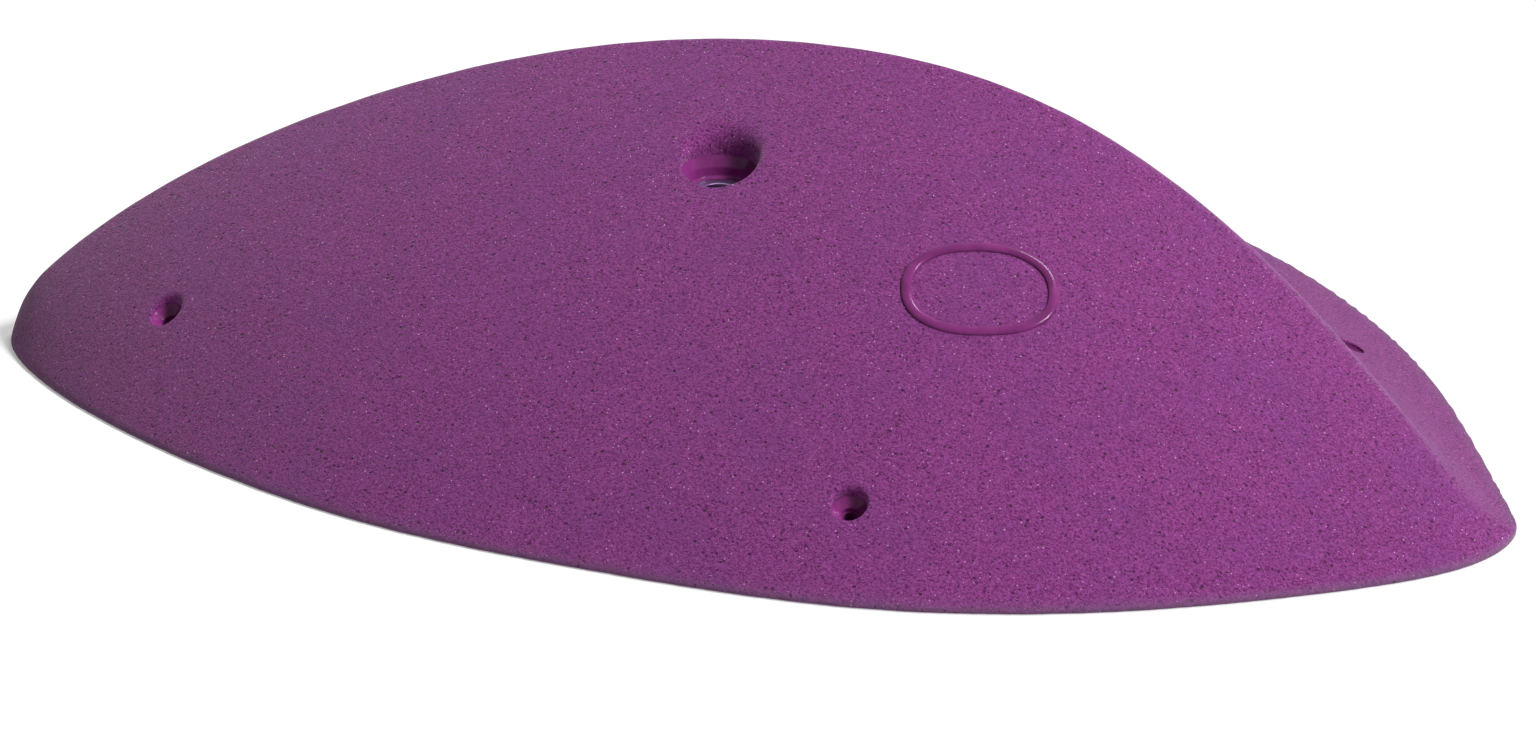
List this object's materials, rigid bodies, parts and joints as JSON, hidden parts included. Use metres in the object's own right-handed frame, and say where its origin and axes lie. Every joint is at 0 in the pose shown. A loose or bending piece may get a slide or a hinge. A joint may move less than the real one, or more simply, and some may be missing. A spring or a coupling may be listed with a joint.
{
  "type": "sloper hold",
  "caption": "Large cast sloper climbing hold: sloping front, crisp crest, concave flange behind, hollow ribbed back, bolt recess with a steel washer, and countersunk screw holes.",
  "frame": {"origin": "middle of the footprint's box, on the plane of the flat back that lies against the wall", "axes": "+X along the line through the two tips, towards the tip where the crest ends; +Y from the front edge to the flange; +Z out of the wall"},
  "size_m": [0.594, 0.4145, 0.1258],
  "materials": {
    "cast_polyurethane": "matte purple, cast with a fine gritty grain and small open pits; smooth in the bolt recess and screw holes",
    "washer_steel": "zinc plated, satin"
  },
  "bodies": {
    "root": {"hold_body": "cast_polyurethane", "bolt_washer": "washer_steel"}
  },
  "joints": []
}
